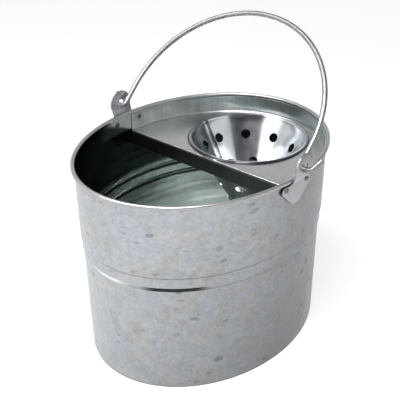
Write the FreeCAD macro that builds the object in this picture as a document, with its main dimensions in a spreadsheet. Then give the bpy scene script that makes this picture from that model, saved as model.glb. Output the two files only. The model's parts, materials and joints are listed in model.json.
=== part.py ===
import FreeCAD, Part
import Sketcher
import math
import os

from FreeCAD import Placement, Rotation, Vector
from types import SimpleNamespace

# Oval galvanised mop bucket with a cone wringer, in millimetres.
# Frame: origin at the middle of the foot, +Z up, +X towards the wringer half,
# +Y along the axis that the bail swings about.

doc = FreeCAD.newDocument("mop_bucket")
sheet = doc.addObject("Spreadsheet::Sheet", "Sizes")

SIZES = {
    # oval body, measured over the rolled rim
    "rim_length": 340.0,
    "rim_width": 271.4,
    "rim_height": 245.5,
    "sheet_thickness": 0.8,
    "rim_bead_diameter": 4.6,
    "rim_wire_diameter": 2.8,
    "bead_overlap": 0.05,
    "wall_draft": 0.0065,
    # two pressed steps that stiffen the wall
    "upper_step_height": 155.3,
    "upper_step_drop": 3.0,
    "upper_step_depth": 1.1,
    "lower_step_height": 139.0,
    "lower_step_drop": 4.2,
    "lower_step_depth": 1.3,
    # lock seam that closes the wall at the wringer end
    "seam_width": 9.0,
    "seam_thickness": 0.8,
    "seam_end_gap": 4.0,
    # bottom pan, set up inside the foot
    "pan_height": 9.0,
    "pan_flange_start": 1.0,
    "pan_ledge": 14.0,
    "pan_step_width": 3.0,
    "pan_step_height": 2.0,
    "seat_gap": 0.05,
    # half-moon wringer plate, below the top of the rim
    "plate_drop": 25.5,
    "plate_edge": 7.4,
    "plate_edge_radius": 1.1,
    "apron_root": 1.7,
    "flange_bend_radius": 2.4,
    "flange_top_gap": 4.4,
    "apron_depth": 20.0,
    "apron_end_gap": 0.7,
    "collar_front_margin": 1.4,
    "collar_rear_margin": 0.83,
    "collar_rise": 0.8,
    "collar_slope": 1.2,
    # perforated cone
    "collar_width": 5.2,
    "cone_foot_radius": 19.5,
    "cone_depth": 90.0,
    "lip_width": 4.4,
    "lip_rise": 1.2,
    "lip_gap": 0.03,
    "cone_hole_gap": 0.3,
    "drain_diameter": 12.8,
    "upper_row_depth": 21.6,
    "upper_row_first": 78.0,
    "upper_row_pitch": 38.0,
    "upper_row_count": 9.0,
    "middle_row_depth": 53.5,
    "middle_row_first": 26.3,
    "middle_row_count": 8.0,
    "lower_row_depth": 77.0,
    "lower_row_first": 5.0,
    "lower_row_count": 5.0,
    "cone_seam_angle": 89.5,
    "cone_seam_width": 7.6,
    "cone_seam_thickness": 0.7,
    "cup_flange_height": 5.0,
    "cup_hole_diameter": 6.5,
    "cup_hole_circle": 11.5,
    "cup_hole_count": 6.0,
    # bail ears: heights above or below the top of the rim, stand-off beyond its side
    "ear_thickness": 1.2,
    "ear_eye_rise": 11.1,
    "ear_hole_diameter": 10.8,
    "ear_head_radius": 16.5,
    "ear_neck_width": 31.0,
    "ear_stand_off": 4.6,
    "ear_shoulder_width": 53.0,
    "ear_shoulder_margin": 2.6,
    "ear_corner_margin": 9.4,
    "ear_corner_inset": 2.5,
    "ear_foot_width": 13.0,
    "ear_foot_drop": 33.2,
    "ear_foot_radius": 6.0,
    "ear_shoulder_radius": 3.5,
    "ear_relief_diameter": 2.6,
    "ear_base_shift": 2.5,
    "ear_bead_gap": 0.5,
    "ear_joggle_rise": 3.4,
    "ear_kink_drop": 3.0,
    # rivets through ear and wall
    "rivet_spread": 19.0,
    "rivet_margin": 6.3,
    "rivet_shank_diameter": 3.6,
    "rivet_hole_gap": 0.05,
    "rivet_head_diameter": 6.2,
    "rivet_head_height": 1.9,
    # wire bail
    "bail_wire_diameter": 6.0,
    "bail_leg_gap": 6.3,
    "bail_leg_length": 29.2,
    "bail_corner_radius": 5.0,
    "bail_pin_length": 4.2,
    "bail_hook_radius": 7.0,
    "bail_hook_turn": 66.0,
    "bail_hook_length": 12.5,
    "bail_hole_gap": 0.08,
    "bail_lean": 45.0,
}

for row, (alias, number) in enumerate(SIZES.items(), start=1):
    sheet.set(f"A{row}", alias)
    sheet.set(f"B{row}", str(number))
    sheet.setAlias(f"B{row}", alias)
doc.recompute()


class Size:
    """A number together with the sheet formula that gives it."""

    def __init__(self, formula, number):
        self.formula = formula
        self.number = number

    def joined(self, sign, other, number):
        return Size(f"({self.formula} {sign} {as_size(other).formula})", number)

    def __add__(self, other):
        return self.joined("+", other, self.number + as_size(other).number)

    def __sub__(self, other):
        return self.joined("-", other, self.number - as_size(other).number)

    def __mul__(self, other):
        return self.joined("*", other, self.number * as_size(other).number)

    def __truediv__(self, other):
        return self.joined("/", other, self.number / as_size(other).number)

    def __neg__(self):
        return Size(f"(0 - {self.formula})", -self.number)

    def __float__(self):
        return float(self.number)


def as_size(item):
    return item if isinstance(item, Size) else Size(repr(item), item)


def from_sheet(alias):
    return Size(f"Sizes.{alias}", float(sheet.get(alias)))


S = SimpleNamespace(**{alias: from_sheet(alias) for alias in SIZES})
NONE = as_size(0)

# heights and places that follow the rim
S.plate_height = S.rim_height - S.plate_drop
S.bead_foot = S.rim_height - S.rim_bead_diameter
S.rivet_height = S.bead_foot - S.rivet_margin
S.ear_hole_height = S.rim_height + S.ear_eye_rise
S.ear_shoulder_height = S.bead_foot - S.ear_shoulder_margin
S.ear_corner_height = S.bead_foot - S.ear_corner_margin
S.ear_foot_height = S.rim_height - S.ear_foot_drop
S.ear_reach = S.rim_width / 2 + S.ear_stand_off
S.bail_leg_spread = S.ear_reach - S.bail_leg_gap


def bind(item, **sizes):
    """Ties properties of an object to the sheet."""
    for prop, amount in sizes.items():
        item.setExpression(prop, as_size(amount).formula)
    return item


def move_to(item, x=NONE, y=NONE, z=NONE):
    """Ties the place of an object to the sheet."""
    for axis, amount in (("x", x), ("y", y), ("z", z)):
        item.setExpression(f".Placement.Base.{axis}", as_size(amount).formula)
    return item


def add(kind, name, **sizes):
    return bind(doc.addObject(kind, name), **sizes)


def cut(name, base, tool, tidy=True):
    item = doc.addObject("Part::Cut", name)
    item.Base = base
    item.Tool = tool
    item.Refine = tidy
    return item


def common(name, base, tool):
    item = doc.addObject("Part::Common", name)
    item.Base = base
    item.Tool = tool
    return item


def fuse(name, pieces, tidy=True):
    item = doc.addObject("Part::MultiFuse", name)
    item.Shapes = pieces
    item.Refine = tidy
    return item


def box(name, low, high):
    """A box between two corners, each given as three sizes."""
    spans = [as_size(far) - near for near, far in zip(low, high)]
    item = add("Part::Box", name, Length=spans[0], Width=spans[1], Height=spans[2])
    return move_to(item, *low)


def cylinder(name, radius, length, turn=None, **place):
    item = add("Part::Cylinder", name, Radius=radius, Height=length)
    if turn is not None:
        item.Placement = Placement(Vector(), turn)
    return move_to(item, **place)


def oval(name, inset, level):
    """The body's plan outline, set in from the outside of the rolled rim."""
    item = add(
        "Part::Ellipse", name,
        MajorRadius=S.rim_length / 2 - inset,
        MinorRadius=S.rim_width / 2 - inset,
    )
    return move_to(item, z=level)


def oval_stack(name, levels):
    """A solid through ovals, from (height, inset) pairs that run upwards."""
    ovals = [oval(f"{name}_{i}", inset, level) for i, (level, inset) in enumerate(levels)]
    item = doc.addObject("Part::Loft", name)
    item.Sections = ovals
    item.Solid = True
    item.Ruled = True
    return item


def oval_ring(name, radius, inset, level):
    """A round section carried along an oval path."""
    spine = oval(f"{name}_path", inset, level)
    section = add("Part::Circle", f"{name}_section", Radius=radius)
    section.Placement = Placement(Vector(), Rotation(Vector(1, 0, 0), 90))
    move_to(section, x=S.rim_length / 2 - inset, z=level)
    item = doc.addObject("Part::Sweep", name)
    item.Sections = [section]
    item.Spine = (spine, ["Edge1"])
    item.Solid = True
    return item


def origin_plane(body, role):
    return next(item for item in body.Origin.OriginFeatures if item.Role == role)


def outline_sketch(body, name, role, points):
    """A closed outline whose corners are each held by two sizes from the origin."""
    sketch = body.newObject("Sketcher::SketchObject", name)
    sketch.AttachmentSupport = [(origin_plane(body, role), "")]
    sketch.MapMode = "FlatFace"
    corners = [Vector(float(x), float(y), 0) for x, y in points]
    for start, end in zip(corners, corners[1:] + corners[:1]):
        sketch.addGeometry(Part.LineSegment(start, end), False)
    last = len(points) - 1
    for i in range(len(points)):
        sketch.addConstraint(Sketcher.Constraint("Coincident", i - 1 if i else last, 2, i, 1))
    for i, (x, y) in enumerate(points):
        for kind, amount in (("DistanceX", x), ("DistanceY", y)):
            place = Sketcher.Constraint(kind, -1, 1, i, 1, float(amount))
            index = sketch.addConstraint(place)
            sketch.setExpression(f"Constraints[{index}]", as_size(amount).formula)
    return sketch


def turned(name, points):
    """A body turned about the vertical from an outline of (radius, height) corners."""
    body = doc.addObject("PartDesign::Body", name)
    sketch = outline_sketch(body, f"{name}_outline", "XZ_Plane", points)
    feature = body.newObject("PartDesign::Revolution", f"{name}_turn")
    feature.Profile = sketch
    feature.ReferenceAxis = (sketch, ["V_Axis"])
    feature.Angle = 360
    return body


def padded(name, role, points, length):
    """A body padded both ways from the middle plane of an outline."""
    body = doc.addObject("PartDesign::Body", name)
    sketch = outline_sketch(body, f"{name}_outline", role, points)
    feature = body.newObject("PartDesign::Pad", f"{name}_pad")
    feature.Profile = sketch
    feature.Midplane = True
    bind(feature, Length=length)
    return body


def straight_edges(item, along, test):
    """Numbers of the straight edges in one direction whose middle passes a test."""
    found = []
    for number, edge in enumerate(item.Shape.Edges, start=1):
        if edge.Curve.TypeId != "Part::GeomLine":
            continue
        if abs(edge.tangentAt(edge.FirstParameter).dot(along)) < 0.999:
            continue
        if test(edge.CenterOfMass):
            found.append(number)
    return found


def rounded(name, base, edges_and_radii):
    """Rounds edges of a finished shape."""
    item = doc.addObject("Part::Fillet", name)
    item.Base = base
    item.Edges = [(number, float(radius), float(radius)) for number, radius in edges_and_radii]
    return item


def near_to(amount, slack=0.6):
    return lambda place: abs(place - float(amount)) < slack


ALONG_X = Vector(1, 0, 0)
ALONG_Y = Vector(0, 1, 0)
ALONG_Z = Vector(0, 0, 1)
Y_TURN = Rotation(ALONG_X, -90)

# ---------------------------------------------------------------- the oval wall

bead_radius = S.rim_bead_diameter / 2
wire_radius = S.rim_wire_diameter / 2
bead_level = S.rim_height - bead_radius
wall_inset = S.rim_bead_diameter - S.sheet_thickness - S.bead_overlap
step_1 = S.upper_step_depth
step_2 = S.upper_step_depth + S.lower_step_depth


def wall_face(level, steps=NONE):
    """Inset of the wall's outer face at one height, below so many steps."""
    return wall_inset + S.wall_draft * (S.rim_height - level) + steps


def wall_levels(extra=NONE, foot=NONE, top=bead_level):
    """Heights and insets of the wall, offset inwards by an extra amount."""
    low_foot = S.lower_step_height - S.lower_step_drop / 2
    low_head = S.lower_step_height + S.lower_step_drop / 2
    high_foot = S.upper_step_height - S.upper_step_drop / 2
    high_head = S.upper_step_height + S.upper_step_drop / 2
    return [
        (foot, wall_face(foot, step_2) + extra),
        (low_foot, wall_face(low_foot, step_2) + extra),
        (low_head, wall_face(low_head, step_1) + extra),
        (high_foot, wall_face(high_foot, step_1) + extra),
        (high_head, wall_face(high_head) + extra),
        (top, wall_face(top) + extra),
    ]


def inner_face(level, steps=NONE):
    return wall_face(level, steps) + S.sheet_thickness


CLEAR = 3.0   # how far cutting tools run past what they cut
wall_outside = oval_stack("wall_outside", wall_levels())
wall_inside = oval_stack(
    "wall_inside",
    wall_levels(S.sheet_thickness, foot=as_size(-CLEAR), top=S.rim_height + CLEAR),
)
wall_shell = cut("wall_shell", wall_outside, wall_inside)
rim_bead = oval_ring("rim_bead", bead_radius, bead_radius, bead_level)
seam_skin = oval_stack("seam_skin", wall_levels(-S.seam_thickness))
seam_strip = box(
    "seam_strip",
    (S.rim_length / 4, -S.seam_width / 2, S.seam_end_gap),
    (S.rim_length, S.seam_width / 2, S.rim_height - S.rim_bead_diameter - S.seam_end_gap),
)
seam_solid = common("seam_solid", seam_skin, seam_strip)
seam_ridge = cut("seam_ridge", seam_solid, wall_inside)
wire_tunnel = oval_ring("wire_tunnel", wire_radius, bead_radius, bead_level)
wall_joined = fuse("wall_joined", [wall_shell, rim_bead, seam_ridge])
wall_blank = cut("wall_blank", wall_joined, wire_tunnel)

rim_wire = oval_ring("rim_wire", wire_radius, bead_radius, bead_level)

# ------------------------------------------------------------------- bottom pan

pan_skirt = inner_face(NONE, step_2) + S.seat_gap
panel_foot = pan_skirt + S.pan_ledge
panel_head = panel_foot + S.pan_step_width
pan_crown = S.pan_height + S.pan_step_height


def pan_body(name, offset, drop, foot):
    """The pan's upright form, offset inwards and downwards to make its inside."""
    return oval_stack(name, [
        (foot, pan_skirt + offset),
        (S.pan_height - drop, pan_skirt + offset),
    ])


def pan_panel(name, offset, drop):
    """The raised middle panel of the pan, offset in the same way."""
    return oval_stack(name, [
        (S.pan_flange_start + drop, panel_foot + offset),
        (S.pan_height - drop, panel_foot + offset),
        (pan_crown - drop, panel_head + offset),
    ])


pan_outer = fuse("pan_outer", [
    pan_body("pan_block", NONE, NONE, S.pan_flange_start),
    pan_panel("pan_raise", NONE, NONE),
])
pan_inner = fuse("pan_inner", [
    pan_body("pan_hollow", S.sheet_thickness, S.sheet_thickness, as_size(-CLEAR)),
    pan_panel("pan_raise_hollow", S.sheet_thickness, S.sheet_thickness),
])
base_pan = cut("base_pan", pan_outer, pan_inner)

# ------------------------------------------------------------- rivets and their holes

ear_back = S.rim_width / 2 - wall_face(S.ear_shoulder_height) + S.seat_gap
ear_front = ear_back + S.ear_thickness
rivet_radius = S.rivet_shank_diameter / 2
hole_radius = rivet_radius + S.rivet_hole_gap
head_radius = S.rivet_head_diameter / 2

RIVETS = [
    ("rivet_near_front", -1, -1),
    ("rivet_near_rear", -1, 1),
    ("rivet_far_front", 1, -1),
    ("rivet_far_rear", 1, 1),
]


def rivet_x(side, end):
    """Distance along the oval of a rivet, from the ear's off-centre base."""
    return S.ear_base_shift * side + S.rivet_spread * end


def sheet_y(x, inset):
    """Half-width of the oval at one place along it."""
    long_half = float(S.rim_length / 2 - inset)
    short_half = float(S.rim_width / 2 - inset)
    return short_half * math.sqrt(1 - (x / long_half) ** 2)


def rivet_seat(side, end):
    """How far out the innermost sheet lies where the inner head bears on it."""
    inset = inner_face(S.rivet_height)
    if end > 0:
        inset = inset + S.seat_gap + S.sheet_thickness
    outer_reach = abs(float(rivet_x(side, end))) + float(head_radius)
    return sheet_y(outer_reach, inset) - float(S.seat_gap)


def rivet_drill(name, side, end):
    """A cylinder through every sheet, to cut the rivet's hole."""
    return cylinder(
        name, hole_radius, S.rim_width / 4, Y_TURN if side > 0 else Y_TURN.inverted(),
        x=rivet_x(side, end), y=S.rim_width * (3 / 8) * side, z=S.rivet_height,
    )


def drills(name, ends):
    """The rivet holes of the wall, the plate or an ear."""
    wanted = [(side, end) for _, side, end in RIVETS if end in ends]
    return fuse(name, [rivet_drill(f"{name}_{i}", *place) for i, place in enumerate(wanted)])


FORMED_HEAD = 0.7   # height of the inner head, as a share of the outer one's


def make_rivet(name, side, end):
    """A shank with a domed head outside and a flatter formed head inside."""
    seat = rivet_seat(side, end)
    height = float(S.rivet_head_height)
    dome = (float(head_radius) ** 2 + height ** 2) / (2 * height)
    formed = height * FORMED_HEAD
    bulge = (float(head_radius) ** 2 + formed ** 2) / (2 * formed)
    front = float(ear_front) + float(S.seat_gap)
    reach = front - seat
    turn = Y_TURN if side > 0 else Y_TURN.inverted()
    x = float(rivet_x(side, end))
    z = float(S.rivet_height)

    into_head = formed / 2
    shank_foot = Vector(0, 0, seat - into_head)
    shank = Part.makeCylinder(float(rivet_radius), reach + into_head * 2, shank_foot)
    outside = Part.makeSphere(dome, Vector(0, 0, front + height - dome))
    outside = outside.common(Part.makeCylinder(2 * dome, 2 * dome, Vector(0, 0, front)))
    inside = Part.makeSphere(bulge, Vector(0, 0, seat - formed + bulge))
    inside = inside.common(Part.makeCylinder(2 * bulge, 2 * bulge, Vector(0, 0, seat - 2 * bulge)))
    item = doc.addObject("Part::Feature", name)
    item.Shape = shank.fuse([outside, inside]).removeSplitter()
    item.Placement = Placement(Vector(x, 0, z), turn)
    return item


rivets = [make_rivet(*entry) for entry in RIVETS]
body_wall = cut("body_wall", wall_blank, drills("wall_drill", (-1, 1)))

# ---------------------------------------------------------------- wringer plate

flange_inset = inner_face(S.plate_height) + S.seat_gap
flange_top = S.rim_height - S.flange_top_gap
flange_top_inset = inner_face(flange_top) + S.seat_gap
plate_under = S.plate_height - S.sheet_thickness
bend = S.flange_bend_radius
HALF_BEND = 1 - math.sqrt(0.5)   # a 45 degree point of a quarter bend, as a share of its radius

tray_outside = oval_stack("tray_outside", [
    (plate_under, flange_inset + bend),
    (plate_under + bend * HALF_BEND, flange_inset + bend * HALF_BEND),
    (plate_under + bend, flange_inset),
    (flange_top, flange_top_inset),
])
tray_inside = oval_stack("tray_inside", [
    (S.plate_height, flange_inset + S.sheet_thickness + bend),
    (S.plate_height + bend * HALF_BEND, flange_inset + S.sheet_thickness + bend * HALF_BEND),
    (S.plate_height + bend, flange_inset + S.sheet_thickness),
    (S.rim_height + CLEAR, inner_face(S.rim_height) + S.seat_gap + S.sheet_thickness),
])
# everything in front of the plate's straight edge, with the metal outside its bend
edge_bend = S.plate_edge_radius
tray_front = padded("tray_front", "XZ_Plane", [
    (-S.rim_length, as_size(-CLEAR)),
    (S.plate_edge, as_size(-CLEAR)),
    (S.plate_edge, S.plate_height - edge_bend),
    (S.plate_edge + edge_bend * HALF_BEND, S.plate_height - edge_bend * HALF_BEND),
    (S.plate_edge + edge_bend, S.plate_height),
    (S.plate_edge, S.plate_height),
    (S.plate_edge, S.rim_height + CLEAR * 2),
    (-S.rim_length, S.rim_height + CLEAR * 2),
], S.rim_width * 2)
# its faces stay as they are cut: merging them spoils the rivet holes
tray_trimmed = cut("tray_trimmed", tray_outside, tray_front, tidy=False)
tray_shell = cut("tray_shell", tray_trimmed, tray_inside, tidy=False)
tray = cut("tray", tray_shell, drills("plate_drill", (1,)), tidy=False)

# the cone's collar takes up the flat of the plate between its edge and its rear bend
flat_end = S.rim_length / 2 - flange_inset - S.sheet_thickness - bend
flat_span = flat_end - S.plate_edge - S.collar_front_margin - S.collar_rear_margin
collar_radius = flat_span / 2
cone_centre = S.plate_edge + S.collar_front_margin + collar_radius
cone_mouth_radius = collar_radius - S.collar_width

apron_foot = S.plate_height - S.apron_depth
apron_slab = padded("apron_slab", "XZ_Plane", [
    (S.plate_edge, apron_foot),
    (S.plate_edge + S.sheet_thickness, apron_foot),
    (S.plate_edge + S.sheet_thickness, plate_under - edge_bend),
    (S.plate_edge + S.apron_root, plate_under),
    (S.plate_edge + S.apron_root, S.plate_height),
    (S.plate_edge + edge_bend, S.plate_height),
    (S.plate_edge + edge_bend * HALF_BEND, S.plate_height - edge_bend * HALF_BEND),
    (S.plate_edge, S.plate_height - edge_bend),
], S.rim_width * 2)
apron_space = oval_stack("apron_space", [
    (apron_foot - CLEAR, inner_face(apron_foot - CLEAR) + S.apron_end_gap),
    (S.plate_height + CLEAR, inner_face(S.plate_height + CLEAR) + S.apron_end_gap),
])
apron = common("apron", apron_slab, apron_space)

collar_top = S.plate_height + S.collar_rise
collar = add(
    "Part::Cone", "collar",
    Radius1=collar_radius,
    Radius2=collar_radius - S.collar_slope,
    Height=S.collar_rise,
)
move_to(collar, x=cone_centre, z=S.plate_height)
collar_hollow = add(
    "Part::Cone", "collar_hollow",
    Radius1=collar_radius - S.sheet_thickness,
    Radius2=collar_radius - S.sheet_thickness - S.collar_slope,
    Height=S.collar_rise,
)
move_to(collar_hollow, x=cone_centre, z=plate_under)

SLOPE = (cone_mouth_radius - S.cone_foot_radius) / S.cone_depth
SKIN = math.sqrt(1 + float(SLOPE) ** 2)   # sheet thickness measured level, per unit of thickness
skin = S.sheet_thickness * SKIN
mouth_hole = cylinder(
    "mouth_hole", cone_mouth_radius + skin + S.cone_hole_gap, S.apron_depth,
    x=cone_centre, z=S.plate_height - S.apron_depth / 2,
)
plate_joined = fuse("plate_joined", [tray, apron, collar], tidy=False)
plate_pressed = cut("plate_pressed", plate_joined, collar_hollow, tidy=False)
wringer_plate = cut("wringer_plate", plate_pressed, mouth_hole, tidy=False)

# ------------------------------------------------------------------ wringer cone

mouth_level = S.plate_height
foot_level = mouth_level - S.cone_depth
lip_foot = collar_top + S.lip_gap
lip_crest = lip_foot + S.lip_rise
lip_edge = cone_mouth_radius + S.lip_width

# the rolled lip's crown, as shares of its width outwards and of its rise down from the crest
LIP_CROWN = [(0.18, 0.3), (0.42, 0), (0.72, 0.12), (0.94, 0.5)]
cone_turned = turned("cone_turned", [
    (S.cone_foot_radius, foot_level),
    (cone_mouth_radius, mouth_level),
] + [
    (cone_mouth_radius + S.lip_width * out, lip_crest - S.lip_rise * down)
    for out, down in LIP_CROWN
] + [
    (lip_edge, lip_foot),
    (cone_mouth_radius + skin, lip_foot),
    (cone_mouth_radius + skin, mouth_level),
    (S.cone_foot_radius + skin, foot_level),
])
move_to(cone_turned, x=cone_centre)

lap = S.cone_seam_thickness * SKIN
seam_turned = turned("seam_turned", [
    (S.cone_foot_radius - lap, foot_level),
    (cone_mouth_radius - lap, mouth_level),
    (cone_mouth_radius + skin / 2, mouth_level),
    (S.cone_foot_radius + skin / 2, foot_level),
])
move_to(seam_turned, x=cone_centre)
seam_block = add(
    "Part::Box", "seam_block",
    Length=cone_mouth_radius, Width=S.cone_seam_width, Height=S.cone_depth,
)
seam_angle = math.radians(float(S.cone_seam_angle))
half_seam = S.cone_seam_width / 2
seam_block.Placement = Placement(Vector(), Rotation(ALONG_Z, float(S.cone_seam_angle)))
move_to(
    seam_block,
    x=cone_centre + half_seam * math.sin(seam_angle),
    y=-half_seam * math.cos(seam_angle),
    z=foot_level,
)
cone_seam = common("cone_seam", seam_turned, seam_block)


def drain(name, depth, angle):
    """A drill square to the cone, at a depth below its mouth and round to an angle."""
    level = mouth_level - depth
    radius = cone_mouth_radius - SLOPE * depth
    turn = math.radians(angle)
    lean = math.degrees(math.atan(float(SLOPE)))
    item = add("Part::Cylinder", name, Radius=S.drain_diameter / 2, Height=S.drain_diameter)
    outwards = Rotation(ALONG_Z, angle).multiply(Rotation(ALONG_Y, 90 + lean))
    item.Placement = Placement(Vector(), outwards)
    back = S.drain_diameter / 2
    inwards = outwards.multVec(ALONG_Z)
    return move_to(
        item,
        x=cone_centre + radius * math.cos(turn) - back * inwards.x,
        y=radius * math.sin(turn) - back * inwards.y,
        z=level - back * inwards.z,
    )


def row_of_drains(name, depth, angles):
    return [drain(f"{name}_{i}", depth, angle) for i, angle in enumerate(angles)]


upper_count = int(float(S.upper_row_count))
upper_pitch = float(S.upper_row_pitch)
upper_first = float(S.upper_row_first)
upper_angles = [upper_first - upper_pitch * i for i in range(upper_count)]
# one more hole stands alone beside the seam, in the middle of the gap that is left
upper_angles.append(upper_first + (360 - upper_pitch * (upper_count - 1)) / 2)
middle_count = int(float(S.middle_row_count))
middle_angles = [float(S.middle_row_first) + 360 / middle_count * i for i in range(middle_count)]
lower_count = int(float(S.lower_row_count))
lower_angles = [float(S.lower_row_first) + 360 / lower_count * i for i in range(lower_count)]
drain_tools = (
    row_of_drains("upper_drain", S.upper_row_depth, upper_angles)
    + row_of_drains("middle_drain", S.middle_row_depth, middle_angles)
    + row_of_drains("lower_drain", S.lower_row_depth, lower_angles)
)
wringer_cone = cut(
    "wringer_cone",
    fuse("cone_joined", [cone_turned, cone_seam]),
    fuse("all_drains", drain_tools),
)

# the small perforated cup that closes the cone's foot
cup_top = foot_level + S.cup_flange_height
cup_gap = S.seat_gap
cup_in = S.cone_foot_radius + skin + cup_gap
cup_out = cup_in + skin
cup_rise = SLOPE * S.cup_flange_height
cup_floor = foot_level - cup_gap
cup_turned = turned("cup_turned", [
    (NONE, cup_floor - S.sheet_thickness),
    (cup_out - S.sheet_thickness, cup_floor - S.sheet_thickness),
    (cup_out, cup_floor),
    (cup_out + cup_rise, cup_top),
    (cup_in + cup_rise, cup_top),
    (cup_in, foot_level),
    (cup_in, cup_floor),
    (NONE, cup_floor),
])
move_to(cup_turned, x=cone_centre)
cup_count = int(float(S.cup_hole_count))
cup_places = [(NONE, 0)] + [
    (S.cup_hole_circle, 2 * math.pi * i / cup_count) for i in range(cup_count)
]
cup_drills = [
    cylinder(
        f"cup_drill_{i}", S.cup_hole_diameter / 2, CLEAR * 2,
        x=cone_centre + out * math.cos(turn),
        y=out * math.sin(turn),
        z=cup_floor - CLEAR,
    )
    for i, (out, turn) in enumerate(cup_places)
]
cone_cup = cut("cone_cup", cup_turned, fuse("cup_drills", cup_drills))

# ---------------------------------------------------------------------- the ears

ear_top = S.ear_hole_height + S.ear_head_radius
bead_back = S.rim_width / 2 + S.ear_bead_gap


BEND_SHIFT = 0.42   # how far a fold's outer corner sits below its inner one, in thicknesses


def make_ear(name, side):
    """A pressed strip joggled round the rolled rim, trimmed to the ear's outline."""
    half = S.ear_shoulder_width / 2
    foot = S.ear_foot_width / 2
    shift = S.ear_base_shift * side
    neck = S.ear_neck_width / 2
    # the strip's inner face going up, then its outer face coming down
    crease = S.ear_shoulder_height
    shelf = S.ear_shoulder_height + S.ear_joggle_rise
    kink = S.ear_hole_height - S.ear_kink_drop
    slack = S.ear_thickness * BEND_SHIFT
    tab_back = S.ear_reach - S.ear_thickness / 2
    tab_front = S.ear_reach + S.ear_thickness / 2
    plane = [
        (ear_back, S.ear_foot_height - CLEAR),
        (ear_back, crease),
        (bead_back, shelf),
        (tab_back, kink),
        (tab_back, ear_top + CLEAR),
        (tab_front, ear_top + CLEAR),
        (tab_front, kink - slack),
        (bead_back + S.ear_thickness, shelf - slack),
        (ear_front, crease - slack),
        (ear_front, S.ear_foot_height - CLEAR),
    ]
    strip = padded(f"{name}_strip", "YZ_Plane", [(y * side, z) for y, z in plane], S.rim_length / 4)
    shield = padded(f"{name}_shield", "XZ_Plane", [
        (shift - foot, S.ear_foot_height),
        (shift + foot, S.ear_foot_height),
        (shift + half, S.ear_corner_height),
        (shift + half - S.ear_corner_inset, S.ear_shoulder_height),
        (shift - half + S.ear_corner_inset, S.ear_shoulder_height),
        (shift - half, S.ear_corner_height),
    ], S.rim_width * 2)
    doc.recompute()

    def foot_corner(p):
        return near_to(S.ear_foot_height)(p.z)

    def shoulder_corner(p):
        return not foot_corner(p)

    feet = straight_edges(shield, ALONG_Y, foot_corner)
    shoulders = straight_edges(shield, ALONG_Y, shoulder_corner)
    radii = [(number, S.ear_foot_radius) for number in feet]
    radii += [(number, S.ear_shoulder_radius) for number in shoulders]
    shield_round = rounded(f"{name}_shield_round", shield, radii)
    neck_block = box(
        f"{name}_neck",
        (-neck, -S.rim_width, S.ear_shoulder_height - S.ear_foot_radius),
        (neck, S.rim_width, S.ear_hole_height),
    )
    head = cylinder(
        f"{name}_head", S.ear_head_radius, S.rim_width * 2, Y_TURN,
        y=-S.rim_width, z=S.ear_hole_height,
    )
    blank = common(f"{name}_blank", strip, fuse(f"{name}_outline", [shield_round, neck_block, head]))
    eye = cylinder(
        f"{name}_eye", S.ear_hole_diameter / 2, S.rim_width * 2, Y_TURN,
        y=-S.rim_width, z=S.ear_hole_height,
    )
    relief = S.ear_relief_diameter / 2
    reliefs = [
        cylinder(
            f"{name}_relief_{i}", relief, S.rim_width * 2, Y_TURN,
            x=(neck + relief * 0.6) * end, y=-S.rim_width, z=S.ear_shoulder_height,
        )
        for i, end in enumerate((-1, 1))
    ]
    return cut(name, blank, fuse(f"{name}_holes", [eye, drills(f"{name}_drill", (-1, 1))] + reliefs))


ear_near = make_ear("ear_near", -1)
ear_far = make_ear("ear_far", 1)

# ---------------------------------------------------------------------- the bail

bail_radius = S.bail_wire_diameter / 2
corner = S.bail_corner_radius
spread = S.bail_leg_spread
hook = S.bail_hook_radius
pin_end = spread + corner + S.bail_pin_length
hook_turn = math.radians(float(S.bail_hook_turn))
# the pin rests just above the bottom of the ear's eye
pivot_level = S.ear_hole_height - S.ear_hole_diameter / 2 + bail_radius + S.bail_hole_gap


def bent_wire(name, radius, degrees, start, y, z):
    """A bend in the bail's own plane, turning about +X from its start direction."""
    item = add("Part::Torus", name, Radius1=radius, Radius2=bail_radius, Angle3=degrees)
    item.Placement = Placement(Vector(), Rotation(start, ALONG_X.cross(start), ALONG_X, "ZXY"))
    return move_to(item, y=y, z=z)


def straight_wire(name, length, direction, y, z):
    item = add("Part::Cylinder", name, Radius=bail_radius, Height=length)
    item.Placement = Placement(Vector(), Rotation(ALONG_Z, direction))
    return move_to(item, y=y, z=z)


leg = straight_wire("bail_leg", S.bail_leg_length - corner, ALONG_Z, spread, corner)
elbow = bent_wire("bail_elbow", corner, 90, -ALONG_Y, spread + corner, corner)
pin = straight_wire("bail_pin", S.bail_pin_length, ALONG_Y, spread + corner, NONE)
hook_bend = bent_wire("bail_hook_bend", hook, S.bail_hook_turn, -ALONG_Z, pin_end, hook)
hook_end = straight_wire(
    "bail_hook_end", S.bail_hook_length,
    Vector(0, math.cos(hook_turn), math.sin(hook_turn)),
    pin_end + hook * math.sin(hook_turn),
    hook - hook * math.cos(hook_turn),
)
side_a = fuse("bail_side", [leg, elbow, pin, hook_bend, hook_end])
side_b = doc.addObject("Part::Mirroring", "bail_other_side")
side_b.Source = side_a
side_b.Normal = ALONG_Y
arch = bent_wire("bail_arch", spread, 180, ALONG_Y, NONE, S.bail_leg_length)
bail_handle = fuse("bail_handle", [arch, side_a, side_b])
bail_handle.Placement = Placement(Vector(), Rotation(ALONG_Y, float(S.bail_lean)))
move_to(bail_handle, z=pivot_level)

# -------------------------------------------------------------------- the sub-parts

NODES = {
    "body_wall": body_wall,
    "rim_wire": rim_wire,
    "base_pan": base_pan,
    "wringer_plate": wringer_plate,
    "wringer_cone": wringer_cone,
    "cone_cup": cone_cup,
    "ear_near": ear_near,
    "ear_far": ear_far,
    "bail_handle": bail_handle,
}
for (name, _, _), item in zip(RIVETS, rivets):
    NODES[name] = item
for name, item in NODES.items():
    item.Label = name
doc.recompute()

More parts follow.
